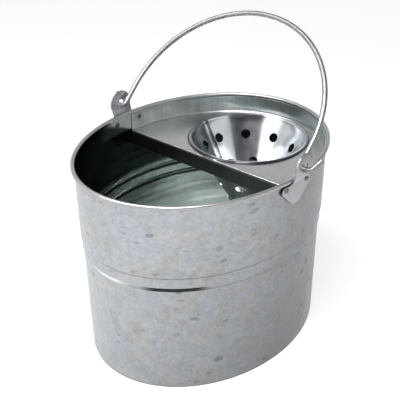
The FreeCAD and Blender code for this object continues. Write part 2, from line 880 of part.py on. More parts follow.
for item in doc.Objects:
    if "Invalid" in item.State or "Error" in item.State:
        raise RuntimeError(f"{item.Label} did not build: {item.State}")
for name, item in NODES.items():
    if item.Shape.isNull() or not item.Shape.isValid():
        raise RuntimeError(f"{name} is not a sound solid")
    print(name, len(item.Shape.Solids), round(item.Shape.Volume), item.Shape.BoundBox)

os.makedirs("parts", exist_ok=True)
for name, item in NODES.items():
    item.Shape.exportStep(f"parts/{name}.step")
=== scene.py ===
import json
import math

import bmesh
import bpy
from mathutils import Matrix, Vector


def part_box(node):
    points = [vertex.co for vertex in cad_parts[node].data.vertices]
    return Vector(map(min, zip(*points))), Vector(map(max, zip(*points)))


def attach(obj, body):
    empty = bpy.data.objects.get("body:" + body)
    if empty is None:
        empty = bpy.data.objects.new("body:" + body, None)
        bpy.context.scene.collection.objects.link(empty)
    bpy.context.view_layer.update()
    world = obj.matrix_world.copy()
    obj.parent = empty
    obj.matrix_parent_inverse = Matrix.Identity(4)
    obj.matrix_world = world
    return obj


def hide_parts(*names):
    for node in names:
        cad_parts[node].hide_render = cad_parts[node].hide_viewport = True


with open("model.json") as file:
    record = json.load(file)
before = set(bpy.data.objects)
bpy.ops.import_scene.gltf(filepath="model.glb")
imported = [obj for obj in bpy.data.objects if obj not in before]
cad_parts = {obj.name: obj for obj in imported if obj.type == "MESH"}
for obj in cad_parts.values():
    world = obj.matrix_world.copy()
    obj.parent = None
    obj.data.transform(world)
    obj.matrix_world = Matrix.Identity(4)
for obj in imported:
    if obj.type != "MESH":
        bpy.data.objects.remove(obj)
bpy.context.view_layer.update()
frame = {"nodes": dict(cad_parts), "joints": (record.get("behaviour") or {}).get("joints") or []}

# ------------------------------------------------------------------ sizes, in millimetres
MM = 0.001


def box_mm(node):
    low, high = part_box(node)
    return [v / MM for v in low], [v / MM for v in high]


WALL_HIGH = box_mm("body_wall")[1]
PLATE_LOW = box_mm("wringer_plate")[0]
CONE_LOW, CONE_HIGH = box_mm("wringer_cone")
CUP_LOW, CUP_HIGH = box_mm("cone_cup")

HALF_LENGTH = WALL_HIGH[0]
HALF_WIDTH = WALL_HIGH[1]
TOP = WALL_HIGH[2]
SHEET = 0.8
SEAT_GAP = 0.05
BEAD = 2.3              # radius of the rolled rim
WALL_INSET = 3.75       # the wall's outer face, from the rim's outside
DRAFT = 0.0065          # how far the wall leans in for each millimetre down
STEPS = [(155.3, 2.2, 1.1), (139.0, 3.4, 1.3)]   # height, drop and depth of each pressed step
UPPER, LOWER = (height for height, _, _ in STEPS)
INNER_DROP = 1.8        # the steps are steeper on the inside

PLATE_EDGE = PLATE_LOW[0]
APRON_DEPTH = 20.0
PLATE = PLATE_LOW[2] + APRON_DEPTH
PLATE_BEND = 1.5
EDGE_BEND = 1.1
FLANGE_TOP = TOP - 4.4
COLLAR_RISE = 0.8
COLLAR_EDGE = 74.85     # radius where the collar starts to fall to the plate

CONE_X = (CONE_LOW[0] + CONE_HIGH[0]) / 2
CONE_MOUTH = 71.0
CONE_FOOT = 19.5
CONE_DEPTH = 90.0
CONE_SLOPE = (CONE_MOUTH - CONE_FOOT) / CONE_DEPTH
CONE_SKIN = SHEET * math.hypot(1, CONE_SLOPE)   # the sheet's thickness, measured level
CONE_SHEET = 0.5
LIP = (CONE_HIGH[0] - CONE_LOW[0]) / 2
DRAIN = 6.4             # radius
SEAM_TURN = math.radians(89.5)
SEAM_X = 0.6            # where that puts the seam along x, from the cone's axis

EAR_EYE = 256.6
PIVOT = frame["joints"][0]["pos_m"][2] / MM
BAIL_WIRE = 3.0         # radius
BAIL_SPREAD = 134.0     # from the middle to each leg
BAIL_LEAN = math.radians(45)
WIRE_CHAMFER = 0.5


# ------------------------------------------------------------------ mesh helpers
def smooth_step(x):
    x = min(max(x, 0.0), 1.0)
    return x * x * (3 - 2 * x)


def new_object(name, bm):
    """Turns a bmesh in millimetres into an object of the scene."""
    bmesh.ops.scale(bm, vec=(MM, MM, MM), verts=bm.verts)
    mesh = bpy.data.meshes.new(name)
    bm.to_mesh(mesh)
    bm.free()
    thing = bpy.data.objects.new(name, mesh)
    bpy.context.scene.collection.objects.link(thing)
    return thing


def finish_mesh(name, bm, slot, *materials, sharp=40, body="bucket", replaced=()):
    """Turns a bmesh into a piece that rides on a body, perhaps in place of CAD nodes."""
    piece = new_object(name, bm)
    shade(piece, sharp)
    for material in materials:
        piece.data.materials.append(material)
    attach(piece, body)
    if replaced:
        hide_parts(*replaced)
    return piece


def shade(piece, sharp):
    mesh = piece.data
    mesh.polygons.foreach_set("use_smooth", [True] * len(mesh.polygons))
    mesh.set_sharp_from_angle(angle=math.radians(sharp))


def grid_mesh(bm, rows, wrap_rows=False):
    """Quads over closed rows of points that all have the same count."""
    made = [[bm.verts.new(p) for p in row] for row in rows]
    for i in range(len(rows) if wrap_rows else len(rows) - 1):
        join_rings(bm, made[i], made[(i + 1) % len(rows)])
    return made


def join_rings(bm, low, high):
    """Quads between two closed rings of vertices."""
    count = len(low)
    for j in range(count):
        k = (j + 1) % count
        bm.faces.new((low[j], low[k], high[k], high[j]))


def join_strips(bm, low, high):
    """Quads between two open rows of vertices."""
    for j in range(len(low) - 1):
        bm.faces.new((low[j], low[j + 1], high[j + 1], high[j]))


def cap(bm, ring, centre):
    """A fan that closes a ring of vertices."""
    middle = bm.verts.new(centre)
    for i, vert in enumerate(ring):
        bm.faces.new((vert, ring[(i + 1) % len(ring)], middle))


def outward(bm):
    bmesh.ops.recalc_face_normals(bm, faces=bm.faces)


def apply_modifiers(piece):
    graph = bpy.context.evaluated_depsgraph_get()
    mesh = bpy.data.meshes.new_from_object(piece.evaluated_get(graph))
    old = piece.data
    piece.modifiers.clear()
    piece.data = mesh
    mesh.name = old.name
    bpy.data.meshes.remove(old)


def full_turn(count):
    """Evenly spaced turns round a whole circle."""
    return [2 * math.pi * i / count for i in range(count)]


def oval_ring(inset, z, count):
    a, b = HALF_LENGTH - inset, HALF_WIDTH - inset
    return [(a * math.cos(t), b * math.sin(t), z) for t in full_turn(count)]


def wall_inset(z):
    """How far the wall's outer face is set in from the rim's outside."""
    inset = WALL_INSET + DRAFT * (TOP - z)
    for height, drop, depth in STEPS:
        inset += depth * smooth_step((height + drop / 2 - z) / drop)
    return inset


def inner_inset(z):
    """The same for the inner face, whose steps are a little steeper."""
    inset = WALL_INSET + SHEET + DRAFT * (TOP - z)
    for height, drop, depth in STEPS:
        inset += depth * smooth_step((height + INNER_DROP / 2 - z) / INNER_DROP)
    return inset


def spread(start, end, count):
    return [start + (end - start) * i / (count - 1) for i in range(count)]


# ------------------------------------------------------------------ materials
class Nodes:
    """A material's node tree, built by short calls."""

    def __init__(self, name):
        self.material = bpy.data.materials.new(name)
        self.material.use_nodes = True
        self.tree = self.material.node_tree
        self.shader = self.tree.nodes["Principled BSDF"]
        self.coords = self.add("ShaderNodeTexCoord").outputs["Object"]

    def add(self, kind, inputs=None, **props):
        node = self.tree.nodes.new(kind)
        for key, value in props.items():
            setattr(node, key, value)
        for key, value in (inputs or {}).items():
            self.put(node.inputs[key], value)
        return node

    def put(self, socket, value):
        if isinstance(value, bpy.types.NodeSocket):
            self.tree.links.new(value, socket)
        else:
            socket.default_value = value

    def noise(self, scale, detail, roughness, coords=None):
        node = self.add("ShaderNodeTexNoise", {
            "Vector": coords or self.coords, "Scale": scale, "Detail": detail, "Roughness": roughness,
        })
        return node.outputs["Fac"]

    def cells(self, scale, coords):
        return self.add("ShaderNodeTexVoronoi", {"Vector": coords, "Scale": scale}).outputs

    def stretch(self, scale, coords=None):
        """Coordinates scaled apart, which draws a pattern out along the axis with the lowest scale."""
        node = self.add("ShaderNodeMapping", {"Vector": coords or self.coords, "Scale": scale})
        return node.outputs["Vector"]

    def warp(self, amount, scale):
        """Coordinates pushed about by noise."""
        push = self.add("ShaderNodeTexNoise", {"Vector": self.coords, "Scale": scale, "Detail": 2.0})
        shifted = self.add("ShaderNodeVectorMath", {0: push.outputs["Color"], 1: (0.5, 0.5, 0.5)},
                           operation="SUBTRACT")
        scaled = self.add("ShaderNodeVectorMath", {0: shifted.outputs[0], "Scale": amount},
                          operation="SCALE")
        return self.add("ShaderNodeVectorMath", {0: scaled.outputs[0], 1: self.coords}).outputs[0]

    def math(self, operation, a, b=0.0, c=0.0, clamp=False):
        node = self.add("ShaderNodeMath", {0: a, 1: b, 2: c}, operation=operation)
        node.use_clamp = clamp
        return node.outputs[0]

    def times(self, a, b):
        return self.math("MULTIPLY", a, b)

    def along(self, direction, x, y):
        """How far a place is along a level direction."""
        return self.math("MULTIPLY_ADD", y, direction[1], self.times(x, direction[0]))

    def range(self, value, low, high, new_low=0.0, new_high=1.0, smooth=False):
        node = self.add("ShaderNodeMapRange", {
            "Value": value, "From Min": low, "From Max": high, "To Min": new_low, "To Max": new_high,
        })
        if smooth:
            node.interpolation_type = "SMOOTHSTEP"
        return node.outputs[0]

    def climb(self, place, low, high, start=0.0, end=1.0, smooth=False):
        """range for a place along an axis, with low and high in millimetres."""
        return self.range(place, low * MM, high * MM, start, end, smooth)

    def band(self, place, span, soft):
        """1 between the two ends of a span in millimetres, with soft ends."""
        low, high = span
        rise = self.climb(place, low - soft, low + soft, smooth=True)
        fall = self.climb(place, high - soft, high + soft, 1.0, 0.0, smooth=True)
        return self.times(rise, fall)

    def mix(self, share, a, b):
        node = self.add("ShaderNodeMix", {0: share, 6: a, 7: b}, data_type="RGBA")
        return node.outputs[2]

    # lays painted light and shade over a base colour
    def lay_painted_light(self, base, share, strength, colour):
        """The base with a colour laid over it: strength says how much of it shows where share is 1."""
        return self.mix(self.times(share, strength), base, (*colour, 1))

    def split(self, value):
        """A vector's or a colour's three parts."""
        return self.add("ShaderNodeSeparateXYZ", {0: value}).outputs

    def bump(self, height, distance, strength, under=None):
        node = self.add("ShaderNodeBump", {"Height": height, "Distance": distance, "Strength": strength})
        if under is not None:
            self.put(node.inputs["Normal"], under)
        return node.outputs["Normal"]

    def close(self, colour, roughness, normal, metallic=1.0):
        """Puts the finished values on the shader."""
        self.put(self.shader.inputs["Base Color"], colour)
        self.put(self.shader.inputs["Roughness"], roughness)
        self.put(self.shader.inputs["Metallic"], metallic)
        self.put(self.shader.inputs["Normal"], normal)
        return self.material


BLUE_CAST = (0.44, 0.58, 0.80, 1)
WARM_CAST = (0.62, 0.55, 0.40, 1)
DULL_ZINC = (0.15, 0.165, 0.16, 1)


def galvanised(name, light, dark, roughness, blotches, hue=0.3, metallic=1.0, ripple=0.0, marks=None):
    """Dipped zinc: fine crystal grain, soft blue and warm patches and scattered dull blotches."""
    n = Nodes(name)
    bent = n.warp(0.006, 90)
    tint = n.split(n.cells(330, bent)["Color"])
    crystal_tone = n.split(n.cells(120, bent)["Color"])[0]
    fine = n.noise(700, 3, 0.7)
    tone = n.math("MULTIPLY_ADD", crystal_tone, 0.20, n.times(tint[0], 0.22))
    tone = n.math("MULTIPLY_ADD", n.noise(60, 5, 0.7), 0.62, tone)
    tone = n.math("MULTIPLY_ADD", fine, 0.28, tone)
    base = n.mix(n.range(tone, 0.38, 0.98), (*dark, 1), (*light, 1))

    patch = n.math("MULTIPLY_ADD", n.noise(240, 3, 0.65), 0.6, n.noise(34, 4, 0.65))
    patch = n.range(patch, 0.68, 0.92, smooth=True)
    base = n.mix(hue, base, n.mix(patch, n.mix(0.22, base, WARM_CAST), n.mix(0.5, base, BLUE_CAST)))

    spots = n.cells(58, n.stretch((1.0, 1.0, 1.9), n.warp(0.010, 80)))
    spot_tint = n.split(spots["Color"])
    reach = n.range(spot_tint[1], 0, 1, 0.08, 0.40)
    spot = n.range(n.math("SUBTRACT", reach, spots["Distance"]), 0.0, 0.13, smooth=True)
    spot = n.times(spot, n.range(spot_tint[2], 0.35, 0.95))
    spot = n.times(spot, blotches)
    base = n.mix(spot, base, n.mix(0.62, base, DULL_ZINC))
    if marks:
        base = marks(n, base)

    rough = n.math("MULTIPLY_ADD", n.math("SUBTRACT", crystal_tone, 0.5), 0.10, roughness)
    rough = n.math("MULTIPLY_ADD", spot, 0.1, rough)
    wave = n.bump(n.noise(16, 2, 0.4), 0.0012, 0.5)
    if ripple:
        wave = n.bump(n.noise(1.0, 2, 0.5, n.stretch((3, 3, 34))), ripple, 0.8, wave)
    relief = n.bump(n.math("MULTIPLY_ADD", tint[1], 0.4, fine), 0.00006, 0.5, wave)
    return n.close(base, rough, relief, metallic)


def bright_sheet(name, light, dark, roughness, streak, relief=0.000008, marks=None):
    """Smooth bright zinc with faint drawn streaks; the function given lays on painted light and shade, and
    the plate flange's streaks.
    """
    n = Nodes(name)
    streaks = n.noise(1.0, 3, 0.6, n.stretch((190, 190, 12)))
    cloud = n.noise(40, 4, 0.6)
    tone = n.math("MULTIPLY_ADD", streaks, streak, n.times(cloud, 1 - streak))
    base = n.mix(n.range(tone, 0.3, 0.7), (*dark, 1), (*light, 1))
    if marks:
        base = marks(n, base)
    rough = n.range(n.noise(120, 4, 0.6), 0.35, 0.7, roughness * 0.93, roughness * 1.1)
    wave = n.bump(n.noise(14, 1, 0.3), 0.0005, 0.5)
    if relief:
        wave = n.bump(streaks, relief, 0.3, wave)
    return n.close(base, rough, wave)


# ------------------------------------------------------------------ painted light and shade on the materials, and the flange's streaks
SHADED_SIDE = (0.656, -0.755)      # level direction towards the wall's side with painted shade
FRONT = (-0.755, -0.656)         # level direction towards the front of the cone's lip, where its painted shade lies
# colour of the painted shade in the outer creases
CREASE_SHADE_COLOUR = (0.05, 0.055, 0.055)


def outer_painted_light(n, base):
    """Painted shade towards one side, at the foot and in the creases; a painted highlight and a painted dark
    reflection on the lower step.
    """
    x, y, z = n.split(n.coords)
    side = n.along(SHADED_SIDE, x, y)
    # painted shade: darker towards the shaded side and lower down
    painted_side_shade = n.climb(n.math("MULTIPLY_ADD", z, -0.7, side), -200, 100, 0.0, 0.75)
    base = n.mix(painted_side_shade, base, (0.07, 0.07, 0.068, 1))
    # painted shade in the crease of each step
    base = n.lay_painted_light(base, n.band(z, (UPPER - 1.4, UPPER - 0.5), 0.5), 0.6, CREASE_SHADE_COLOUR)
    base = n.lay_painted_light(base, n.band(z, (LOWER - 2.2, LOWER - 1.2), 0.5), 0.35, CREASE_SHADE_COLOUR)
    # painted highlight on the lower step's slope towards the lit side, painted dark reflection on it towards
    # the front
    slope = n.band(z, (LOWER - 2.2, LOWER + 3.0), 0.6)
    base = n.lay_painted_light(base, n.times(slope, n.band(side, (-122, -92), 12)), 0.7, (0.95, 0.96, 0.97))
    base = n.lay_painted_light(base, n.times(slope, n.band(side, (-66, 0), 10)), 0.97, (0.005, 0.006, 0.006))
    # painted shade along the foot, where the wall meets the floor
    foot = n.climb(z, 0.6, 2.2, 0.55, 0.0, smooth=True)
    return n.mix(foot, base, (0.10, 0.10, 0.10, 1))


def inner_painted_light(n, base):
    """Painted shade above the steps and in the wringer end, painted highlight streaks below the steps and
    painted shade in the crease under each step.
    """
    x, y, z = n.split(n.coords)
    # painted shade on the inner wall above the steps, left out near the rim at the wringer end and beside
    # the plate
    over_plate = n.times(n.climb(z, TOP - 7.5, TOP - 6), n.climb(x, 0, 5))
    beside_plate = n.times(n.climb(z, PLATE - 1, PLATE + 5, smooth=True), n.climb(x, -65, -15, smooth=True))
    kept_unshaded = n.math("MAXIMUM", over_plate, beside_plate)
    painted_upper_shade = n.climb(z, UPPER + 0.7, UPPER + 8.7, 0.0, 0.96, smooth=True)
    base = n.mix(n.times(painted_upper_shade, n.math("SUBTRACT", 1.0, kept_unshaded)), base, (0.012, 0.022, 0.017, 1))
    # painted shade in the wringer end, under the plate
    wringer_end_shade = n.climb(x, 95, 145, 0.0, 0.55, smooth=True)
    base = n.mix(wringer_end_shade, base, (0.10, 0.13, 0.12, 1))

    # painted highlight streaks across the lower inner wall
    wander = n.math("MULTIPLY_ADD", n.noise(30, 4, 0.6), 0.006, z)
    streak_height = n.math("MULTIPLY_ADD", x, -0.06, wander)
    upper_streak = n.times(n.band(streak_height, (108.5, 112.5), 2.2), n.band(x, (30, 118), 15))
    lower_streak = n.times(n.band(streak_height, (83, 88), 2.2), n.band(x, (90, 130), 12))
    painted_streaks = n.math("ADD", upper_streak, lower_streak, clamp=True)
    base = n.lay_painted_light(base, painted_streaks, 0.6, (0.98, 0.96, 0.86))
    # painted shade in the crease under each step
    under_upper = n.band(z, (UPPER - 6.5, UPPER - 1.7), 0.8)
    under_lower = n.band(z, (LOWER - 5.8, LOWER - 1.8), 0.8)
    under_step_shade = n.math("ADD", under_upper, under_lower, clamp=True)
    return n.lay_painted_light(base, under_step_shade, 0.95, (0.006, 0.008, 0.007))


def from_cone_axis(n, x, y):
    """The place along x from the cone's axis, and the distance from that axis."""
    x = n.math("SUBTRACT", x, CONE_X * MM)
    return x, n.math("SQRT", n.math("MULTIPLY_ADD", x, x, n.times(y, y)))


def plate_streaks_and_shade(n, base):
    """Painted shade on the apron, a streaked green-grey flange and a painted shadow line just outside the
    cone's lip.
    """
    x, y, z = n.split(n.coords)
    # painted shade on the apron
    apron = n.climb(z, PLATE - 5, PLATE - 1.5, 0.72, 0.0, smooth=True)
    base = n.mix(apron, base, (0.02, 0.03, 0.025, 1))
    drawn = n.noise(1.0, 4, 0.65, n.stretch((260, 260, 22)))
    drawn = n.math("MULTIPLY_ADD", drawn, 0.6, n.noise(45, 4, 0.6))
    flange = n.mix(n.range(drawn, 0.55, 1.05), (0.36, 0.42, 0.41, 1), (0.66, 0.72, 0.70, 1))
    base = n.mix(n.climb(z, PLATE + 1, PLATE + 2.5, 0.0, 0.85), base, flange)
    _, reach = from_cone_axis(n, x, y)
    # painted shadow in the gap just outside the cone's lip
    ring = n.band(reach, (COLLAR_EDGE + 0.35, COLLAR_EDGE + 1.75), 0.5)
    return n.lay_painted_light(base, ring, 0.9, (0.02, 0.02, 0.02))


def cone_painted_shade(n, base):
    """Painted shade beside the seam, over the lap and along its edge, and round the front of the lip."""
    x, y, z = n.split(n.coords)
    x, reach = from_cone_axis(n, x, y)
    from_seam = n.math("SUBTRACT", x, SEAM_X * MM)
    seam_side = n.math("GREATER_THAN", y, 0.0)
    # painted shade on the cone's side beyond the seam
    painted_side_shade = n.times(n.climb(from_seam, -6, -3, 0.62, 0.0), seam_side)
    base = n.mix(painted_side_shade, base, (0.10, 0.115, 0.11, 1))
    # painted shade over the lap and a painted shadow along its edge
    lap = n.times(n.band(from_seam, (-0.6, 3.6), 0.6), seam_side)
    base = n.lay_painted_light(base, lap, 0.8, (0.08, 0.085, 0.09))
    lap_edge_shadow = n.times(n.band(from_seam, (3.4, 4.8), 0.4), seam_side)
    base = n.lay_painted_light(base, lap_edge_shadow, 0.9, (0.02, 0.02, 0.025))
    # painted shade round the front of the lip
    lip = n.times(n.climb(reach, LIP - 1.8, LIP - 1.2), n.climb(n.along(FRONT, x, y), 0, 40))
    return n.lay_painted_light(base, lip, 0.85, (0.02, 0.02, 0.022))


WALL_ZINC = galvanised("galvanised_wall", (0.53, 0.54, 0.555), (0.34, 0.345, 0.34), 0.34, 0.9,
                       marks=outer_painted_light)
INNER_ZINC = galvanised("galvanised_inside", (0.66, 0.71, 0.68), (0.44, 0.49, 0.46), 0.18, 0.3,
                        hue=0.1, ripple=0.0025, marks=inner_painted_light)
RIM_ZINC = bright_sheet("rolled_rim", (0.52, 0.52, 0.53), (0.40, 0.40, 0.41), 0.42, 0.2)
BASE_ZINC = galvanised("base_sheet", (0.84, 0.88, 0.87), (0.74, 0.79, 0.78), 0.45, 0.3, metallic=0.55)
PLATE_ZINC = bright_sheet("plate_sheet", (0.60, 0.60, 0.595), (0.47, 0.475, 0.47), 0.30, 0.3,
                          relief=0, marks=plate_streaks_and_shade)
CONE_ZINC = bright_sheet("cone_sheet", (0.76, 0.78, 0.81), (0.64, 0.66, 0.69), 0.20, 0.3,
                         marks=cone_painted_shade)
# the cone's back in painted shade: the same sheet made dark
CONE_BACK_SHADE = bright_sheet("cone_back_shade", (0.07, 0.08, 0.075), (0.045, 0.055, 0.05), 0.5, 0.3)
EAR_ZINC = bright_sheet("ear_sheet", (0.47, 0.475, 0.49), (0.36, 0.365, 0.38), 0.36, 0.15)
RIVET_ZINC = bright_sheet("rivet_steel", (0.22, 0.20, 0.20), (0.12, 0.11, 0.11), 0.38, 0.2)
BAIL_ZINC = bright_sheet("bail_wire", (0.36, 0.36, 0.36), (0.26, 0.26, 0.26), 0.46, 0.3)
RIM_WIRE = bright_sheet("rim_wire", (0.5, 0.5, 0.52), (0.4, 0.4, 0.42), 0.4, 0.3)


# ------------------------------------------------------------------ the oval wall
OVAL_COUNT = 384


def build_wall():
    """One closed shell of outer face, rolled rim and inner face, with a material for each."""
    centre_z = TOP - BEAD
    rim_close = 0.2     # the rim closes this share of its radius below its middle
    outer_join = -math.pi + math.acos((WALL_INSET - BEAD) / BEAD)
    inner_join = math.pi + math.asin(rim_close)
    heights = [0.4, 1.2, 4, 12, 40, 80, 120, 132] + spread(LOWER - 4, LOWER + 4, 17) + [146, 150]
    heights += spread(UPPER - 2.9, UPPER + 2.9, 13) + [165, 190, 215, 230, 238]
    outer = [(wall_inset(0) + 0.25, 0.0), (wall_inset(0) + 0.07, 0.12)]
    outer += [(wall_inset(z), z) for z in heights]
    outer.append((WALL_INSET, centre_z + BEAD * math.sin(outer_join)))
    bead = [
        (BEAD - BEAD * math.cos(t), centre_z + BEAD * math.sin(t))
        for t in spread(outer_join, inner_join, 29)[1:]
    ]
    inner = [(inner_inset(z), z) for z in reversed(heights)]
    inner += [(inner_inset(0) - 0.07, 0.12), (inner_inset(0) - 0.25, 0.0)]
    bm = bmesh.new()
    grid_mesh(bm, [oval_ring(inset, z, OVAL_COUNT) for inset, z in outer + bead + inner], wrap_rows=True)
    outward(bm)
    bead_start, inner_start = len(outer), len(outer) + len(bead) - 1
    for number, face in enumerate(bm.faces):
        row = number // OVAL_COUNT
        face.material_index = 2 if bead_start <= row < inner_start else int(row >= inner_start)
    finish_mesh("wall_shell", bm, "galvanised_wall", WALL_ZINC, INNER_ZINC, RIM_ZINC, sharp=50,
                replaced=["body_wall"])


def build_seam():
    """The folded lock seam that closes the wall, at the wringer end."""
    half, thick = 4.5, 0.8
    across = [(-1, -0.3), (-1, 0.55), (-0.93, 0.85), (-0.85, 1.0), (-0.4, 1.0), (0, 1.0), (0.4, 1.0),
              (0.85, 1.0), (0.93, 0.85), (1, 0.55), (1, -0.3)]
    heights = [4.0, 4.4, 5.0] + spread(12, 132, 8) + spread(LOWER - 4, LOWER + 4, 9) + [147]
    heights += spread(UPPER - 2.9, UPPER + 2.9, 7) + spread(170, 235, 5) + [236.2, 236.6]
    end_share = {heights[0]: 0.5, heights[1]: 0.9, heights[-2]: 0.9, heights[-1]: 0.5}
    rows = []
    for z in heights:
        a, b = HALF_LENGTH - wall_inset(z), HALF_WIDTH - wall_inset(z)
        row = []
        for share, rise in across:
            y = share * half
            lift = thick * rise * (end_share.get(z, 1.0) if rise > 0 else 1)
            row.append((a * math.sqrt(1 - (y / b) ** 2) + lift, y, z))
        rows.append(row)
    bm = bmesh.new()
    made = grid_mesh(bm, rows)
    bm.faces.new(made[0])
    bm.faces.new(made[-1])
    outward(bm)
    finish_mesh("wall_seam", bm, "galvanised_wall", WALL_ZINC, sharp=50)


def build_pan():
    """The bottom pan with its raised middle panel, as one closed sheet."""
    skirt = inner_inset(0) + SEAT_GAP
    edge, level, bend, panel, rise = 1.0, 9.0, 2.0, 14.0, 2.0
    top = [(skirt, edge), (skirt, level - bend)]
    top += [(skirt + bend * (1 - math.cos(t)), level - bend + bend * math.sin(t))
            for t in spread(0.2, math.pi / 2, 7)]
    top += [(skirt + panel, level), (skirt + panel + 0.5, level + 0.15),
            (skirt + panel + 2.5, level + rise - 0.15), (skirt + panel + 3, level + rise),
            (skirt + 60, level + rise)]
    under = [(inset + SHEET * (0.6 if z > level else 1), z - SHEET) for inset, z in reversed(top[1:])]
    under = [(inset, z) for inset, z in under if z > edge] + [(skirt + SHEET, edge)]
    bm = bmesh.new()
    upper_rings = grid_mesh(bm, [oval_ring(inset, z, OVAL_COUNT // 2) for inset, z in top])
    cap(bm, upper_rings[-1], (0, 0, level + rise))
    lower_rings = grid_mesh(bm, [oval_ring(inset, z, OVAL_COUNT // 2) for inset, z in under])
    cap(bm, lower_rings[0], (0, 0, level + rise - SHEET))
    join_rings(bm, upper_rings[0], lower_rings[-1])
    outward(bm)
    finish_mesh("bottom_pan", bm, "base_sheet", BASE_ZINC, replaced=["base_pan"])


# ------------------------------------------------------------------ the wringer plate
FLANGE_COUNT, FRONT_COUNT = 260, 120


def plate_inset(z):
    """How far the flange's inner face is set in from the rim's outside."""
    return inner_inset(z) + SEAT_GAP + SHEET


def oval_arc(inset, z, edge_x):
    """Points round the part of an oval that lies beyond edge_x."""
    a, b = HALF_LENGTH - inset, HALF_WIDTH - inset
    end = math.acos(edge_x / a)
    return [(a * math.cos(t), b * math.sin(t), z) for t in spread(-end, end, FLANGE_COUNT)]


def plate_flat(border):
    """Rows of points from the cone's hole over the raised collar and out to the border."""
    hole = CONE_MOUTH + CONE_SKIN + 0.3
    fall = [(0.0, COLLAR_RISE), (0.35, COLLAR_RISE - 0.08), (0.75, 0.45), (1.1, 0.14), (1.45, 0.02),
            (1.95, 0.0), (2.75, 0.0)]
    collar = [(hole, COLLAR_RISE), (hole + 1.4, COLLAR_RISE)]
    collar += [(COLLAR_EDGE + out, rise) for out, rise in fall]
    rows = []
    for radius, rise in collar:
        row = []
        for x, y, z in border:
            share = radius / math.hypot(x - CONE_X, y)
            row.append((CONE_X + (x - CONE_X) * share, y * share, z + rise))
        rows.append(row)
    last = rows[-1]
    for share in (0.12, 0.3, 0.55, 0.8, 1.0):
        rows.append([(p[0] + (q[0] - p[0]) * share, p[1] + (q[1] - p[1]) * share, q[2])
                     for p, q in zip(last, border)])
    return rows


def build_plate():
    """Half-moon sheet: raised collar, flange up the wall and apron down in front."""
    flat = plate_inset(PLATE) + PLATE_BEND
    edge_x = PLATE_EDGE + EDGE_BEND
    border = oval_arc(flat, PLATE, edge_x)
    edge_y = border[-1][1]
    border += [(edge_x, y, PLATE) for y in spread(edge_y, -edge_y, FRONT_COUNT + 2)[1:-1]]
    bm = bmesh.new()
    brim = grid_mesh(bm, plate_flat(border))[-1]

    flange = [(flat - PLATE_BEND * math.sin(t), PLATE + PLATE_BEND * (1 - math.cos(t)))
              for t in spread(0, math.pi / 2, 9)[1:]]
    flange += [(plate_inset(z), z) for z in (228, 235, FLANGE_TOP - 0.5)]
    flange.append((plate_inset(FLANGE_TOP) + 0.12, FLANGE_TOP))
    below = brim[:FLANGE_COUNT]
    for inset, z in flange:
        above = [bm.verts.new(point) for point in oval_arc(inset, z, edge_x)]
        join_strips(bm, below, above)
        below = above

    wall_a, wall_b = HALF_LENGTH - inner_inset(PLATE), HALF_WIDTH - inner_inset(PLATE)
    apron_y = (wall_b - 0.7) * math.sqrt(1 - (PLATE_EDGE / wall_a) ** 2)
    apron = [(EDGE_BEND * (1 - math.sin(t)), EDGE_BEND * (1 - math.cos(t)), math.sin(t))
             for t in spread(0, math.pi / 2, 7)[1:]]
    apron += [(0, depth, 1) for depth in (4, 10, 16, APRON_DEPTH - 0.3, APRON_DEPTH)]
    front = brim[FLANGE_COUNT - 1:] + [brim[0]]
    above = front
    for out, depth, widened in apron:
        wide = 1 + (apron_y / edge_y - 1) * widened
        below = [bm.verts.new((PLATE_EDGE + out, vert.co.y * wide, PLATE - depth)) for vert in front]
        join_strips(bm, above, below)
        above = below

    outward(bm)
    on_flat = Vector((40, 100, PLATE))
    top_face = min(bm.faces, key=lambda face: (face.calc_center_median() - on_flat).length)
    if top_face.normal.z < 0:
        bmesh.ops.reverse_faces(bm, faces=bm.faces)
    piece = finish_mesh("half_moon_plate", bm, "plate_sheet", PLATE_ZINC, replaced=["wringer_plate"])
    solid = piece.modifiers.new("sheet", "SOLIDIFY")
    solid.thickness = SHEET * MM
    solid.offset = -1
    solid.use_even_offset = False
    solid.use_quality_normals = True
    apply_modifiers(piece)
    shade(piece, 40)


# ------------------------------------------------------------------ the wringer cone
SEAM_ACROSS = [(-4.6, 0), (-4.0, 0), (-3.8, 0.1), (-3.6, 0.6), (-3.2, 0.7), (-1.6, 0.7), (0, 0.7),
               (1.6, 0.7), (3.2, 0.7), (3.6, 0.6), (3.8, 0.1), (4.0, 0), (4.6, 0)]   # place and height
PLAIN_COLUMNS = 260


def cone_columns(radius):
    """Turns and seam heights of the columns round the cone at one radius."""
    edge = SEAM_ACROSS[-1][0] / radius
    columns = [(SEAM_TURN + across / radius, rise) for across, rise in SEAM_ACROSS]
    plain = spread(edge, 2 * math.pi - edge, PLAIN_COLUMNS + 2)[1:-1]
    return columns + [(SEAM_TURN + t, 0.0) for t in plain]


def add_cutter(bm, radius, depth, segments, matrix):
    made = bmesh.ops.create_cone(bm, cap_ends=True, segments=segments, radius1=radius, radius2=radius,
                                 depth=depth)
    bmesh.ops.transform(bm, matrix=matrix, verts=made["verts"])


def drain_cutters():
    """All the drain holes, as one mesh of round cutters square to the cone."""
    upper = [78.0 - 38.0 * i for i in range(9)] + [106.0]
    middle = [26.3 + 45.0 * i for i in range(8)]
    lower = [5.0 + 72.0 * i for i in range(5)]
    lean = math.pi / 2 + math.atan(CONE_SLOPE)
    bm = bmesh.new()
    for depth, degrees in ((21.6, upper), (53.5, middle), (77.0, lower)):
        radius = CONE_MOUTH - CONE_SLOPE * depth
        for turn in map(math.radians, degrees):
            place = (CONE_X + radius * math.cos(turn), radius * math.sin(turn), PLATE - depth)
            turned = Matrix.Rotation(turn, 4, "Z") @ Matrix.Rotation(lean, 4, "Y")
            add_cutter(bm, DRAIN, 14, 40, Matrix.Translation(place) @ turned)
    return bm


